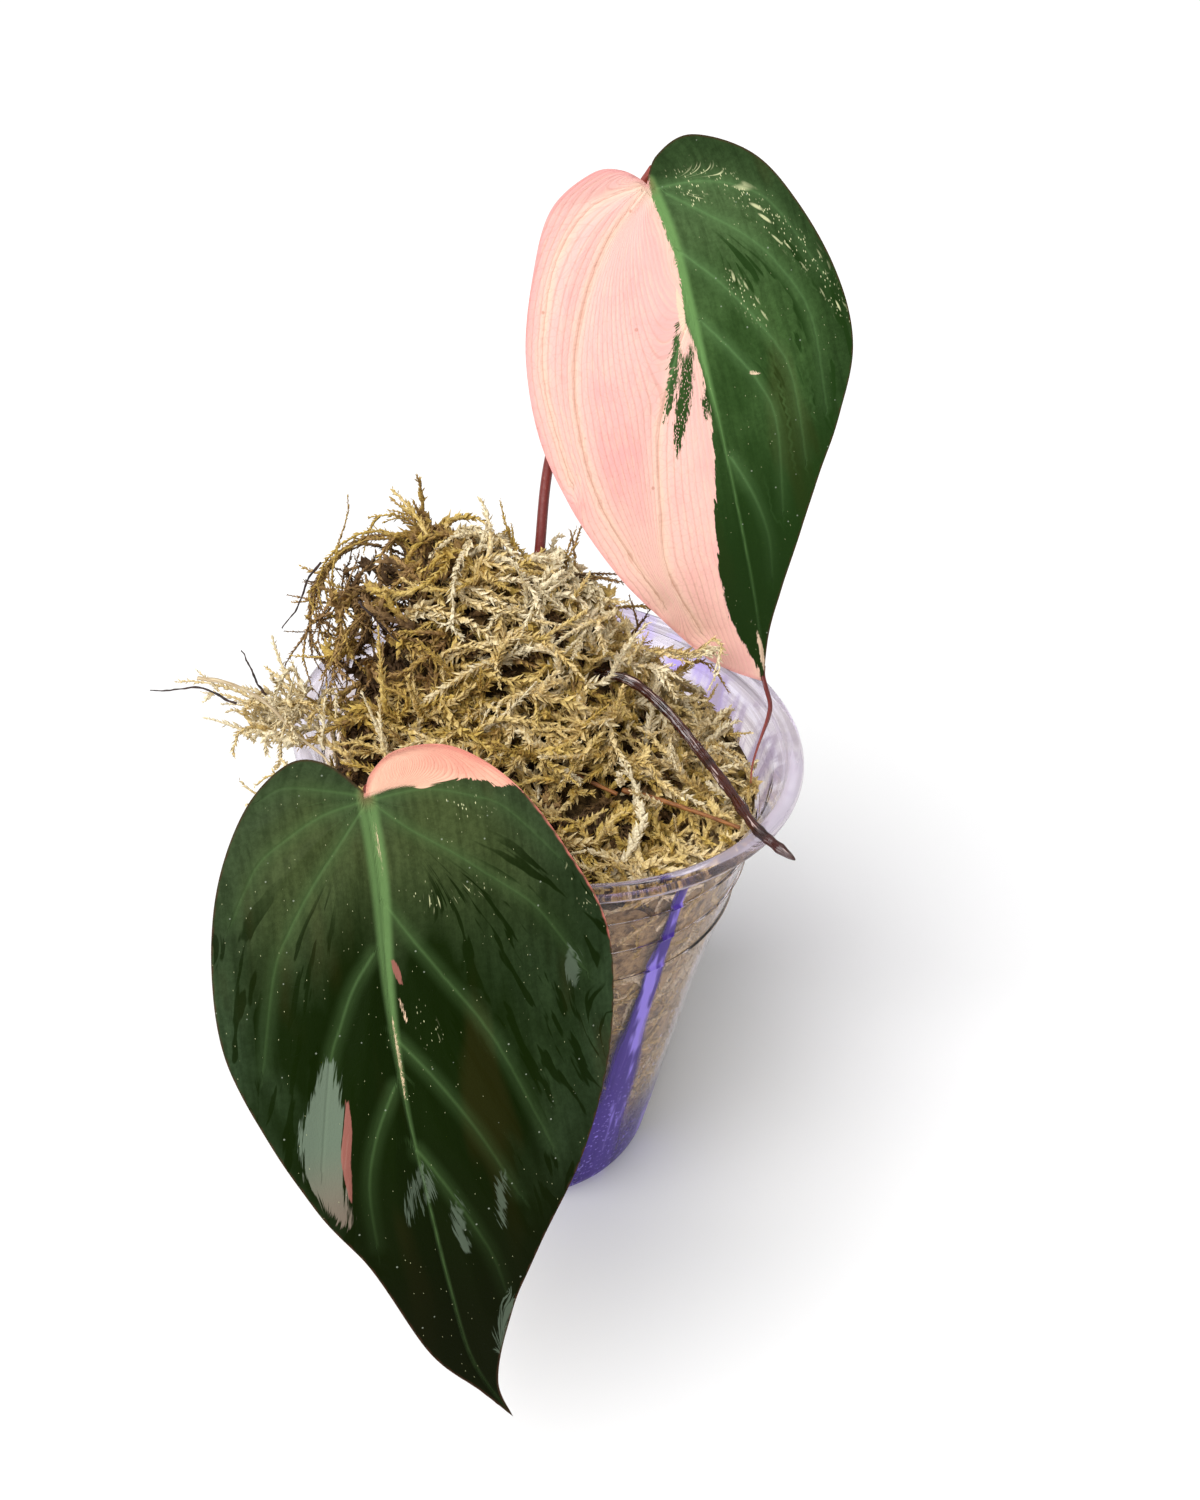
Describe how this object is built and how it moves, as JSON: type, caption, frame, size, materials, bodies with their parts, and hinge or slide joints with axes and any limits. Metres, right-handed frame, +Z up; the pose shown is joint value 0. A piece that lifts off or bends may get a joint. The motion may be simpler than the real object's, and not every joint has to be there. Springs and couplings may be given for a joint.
{
  "type": "potted philodendron cutting",
  "caption": "Young trailing philodendron with heart-shaped variegated leaves on a short woody vine, rooted in a clear drink cup heaped with dried moss.",
  "frame": {"origin": "centre of the cup's base, on the face it stands on", "axes": "+Z up out of the cup, X to the right and Y away from the side that the lower leaf hangs on"},
  "size_m": [0.1225, 0.1459, 0.2086],
  "materials": {
    "cup_clear": "clear, glossy",
    "dried_moss": "matt, fibrous",
    "vine_bark": "ridged, satin",
    "petiole_skin": "satin",
    "dry_stalk_skin": "matt, dry",
    "leaf_green": "velvety satin, dark green with lighter veins",
    "leaf_pink": "velvety satin, one half pink and the other dark green"
  },
  "bodies": {
    "root": {"cup": "cup_clear", "moss": "dried_moss", "vine_stem": "vine_bark", "upper_petiole": "petiole_skin", "front_petiole": "petiole_skin", "upper_leaf": "leaf_pink", "front_leaf": "leaf_green", "dry_stalk_1": "dry_stalk_skin", "dry_stalk_2": "dry_stalk_skin"}
  },
  "joints": []
}
